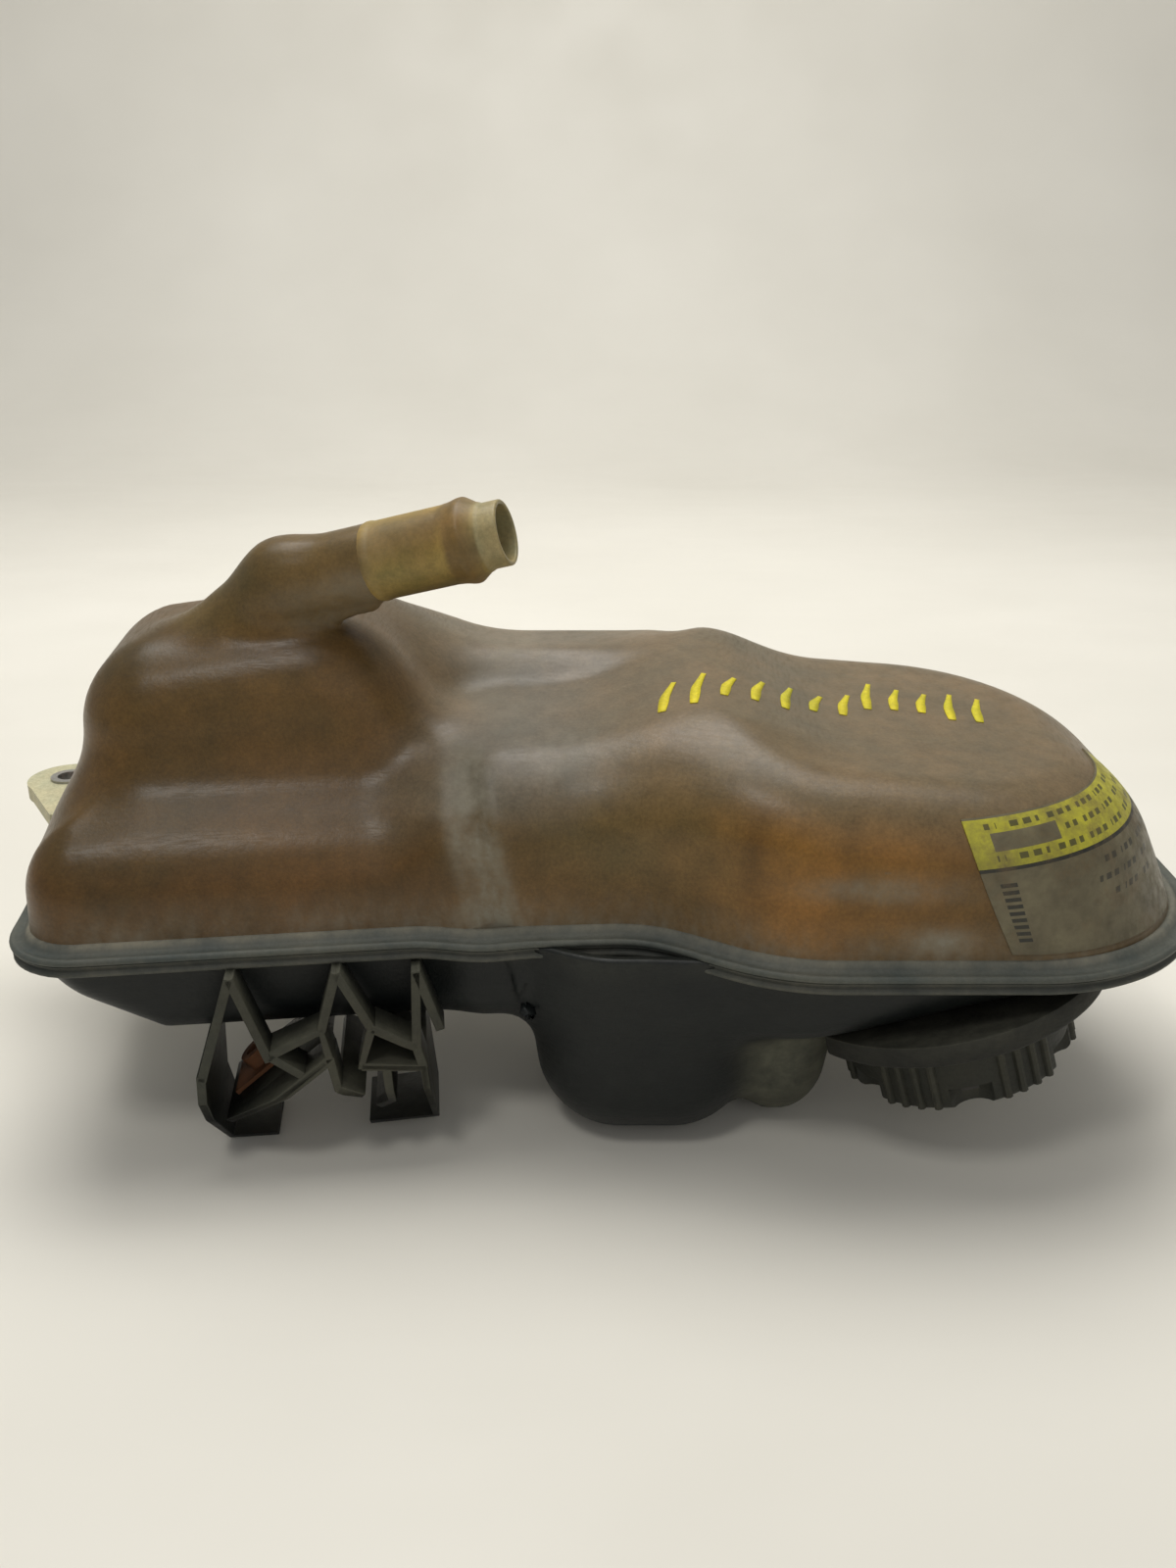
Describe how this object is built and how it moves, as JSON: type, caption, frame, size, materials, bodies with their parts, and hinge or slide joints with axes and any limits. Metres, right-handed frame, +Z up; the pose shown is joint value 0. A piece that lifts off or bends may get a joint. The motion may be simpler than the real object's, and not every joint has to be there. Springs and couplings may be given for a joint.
{
  "type": "coolant expansion tank",
  "caption": "Two-part moulded coolant expansion tank with hose spigot, ribbed bracket, side ear and a screw pressure cap with relief and vacuum valves, stored upside-down.",
  "frame": {"origin": "middle of the part's length and depth, on the surface it stands on", "axes": "+Z up as the tank stands upside-down on its domes and bracket, +X to the right towards the cap end, +Y away from the bracket side; in use the tank is turned over, so +Z points down"},
  "size_m": [0.4345, 0.1838, 0.2171],
  "materials": {
    "amber_plastic": "aged translucent polypropylene, satin, dusty",
    "black_plastic": "moulded black polypropylene, satin, dusty",
    "pale_plastic": "unstained natural polypropylene",
    "spigot_plastic": "pale golden translucent polypropylene",
    "label_film": "printed film, worn",
    "dusty_plastic": "black plastic under grey dust",
    "cap_plastic": "black nylon, matte",
    "zinc_steel": "zinc plated",
    "rusty_steel": "spring steel, rusted",
    "spring_steel": "bright spring steel",
    "valve_brass": "turned brass",
    "seal_rubber": "black EPDM rubber"
  },
  "bodies": {
    "tank": {"natural_shell": "amber_plastic", "black_shell": "black_plastic", "side_ear": "pale_plastic", "ear_bush": "zinc_steel", "hose_spigot": "spigot_plastic", "baffles": "amber_plastic", "fill_label": "label_film", "front_bracket": "black_plastic", "clip_nut": "rusty_steel", "vent_nipple_large": "black_plastic", "vent_nipple_small": "black_plastic", "filler_neck": "black_plastic", "neck_collar": "dusty_plastic"},
    "valve_carrier": {"valve_housing": "cap_plastic", "neck_seal": "seal_rubber", "spring_retainer": "spring_steel", "pressure_spring": "spring_steel"},
    "cap": {"cap_grip": "cap_plastic", "cap_insert": "cap_plastic", "cap_disc": "cap_plastic", "cap_gasket": "seal_rubber"},
    "relief_plate": {"pressure_valve": "valve_brass", "pressure_seal": "seal_rubber", "vacuum_spring": "spring_steel"},
    "vacuum_poppet": {"vacuum_valve": "valve_brass", "vacuum_clip": "spring_steel"}
  },
  "joints": [
    {"name": "cap_turn", "type": "hinge", "parent": "valve_carrier", "child": "cap", "pos_m": [0.1346, -0.0381, 0.0515], "axis": [0.2748, -0.0785, -0.9583], "range_deg": [0, 540]},
    {"name": "cap_lift", "type": "slide", "parent": "tank", "child": "valve_carrier", "axis": [0.2748, -0.0785, -0.9583], "range_m": [0, 0.009]},
    {"name": "relief_lift", "type": "slide", "parent": "valve_carrier", "child": "relief_plate", "axis": [0.2748, -0.0785, -0.9583], "range_m": [0, 0.003], "stiffness_N_per_m": 9000, "springref_m": -0.004, "deforming": ["pressure_spring"]},
    {"name": "vacuum_drop", "type": "slide", "parent": "relief_plate", "child": "vacuum_poppet", "axis": [-0.2748, 0.0785, 0.9583], "range_m": [0, 0.0015], "stiffness_N_per_m": 300, "springref_m": -0.003, "deforming": ["vacuum_spring"]}
  ],
  "couplings": [
    {"joint": "cap_lift", "follows": "cap_turn", "m_per_rad": 0.00095493}
  ]
}
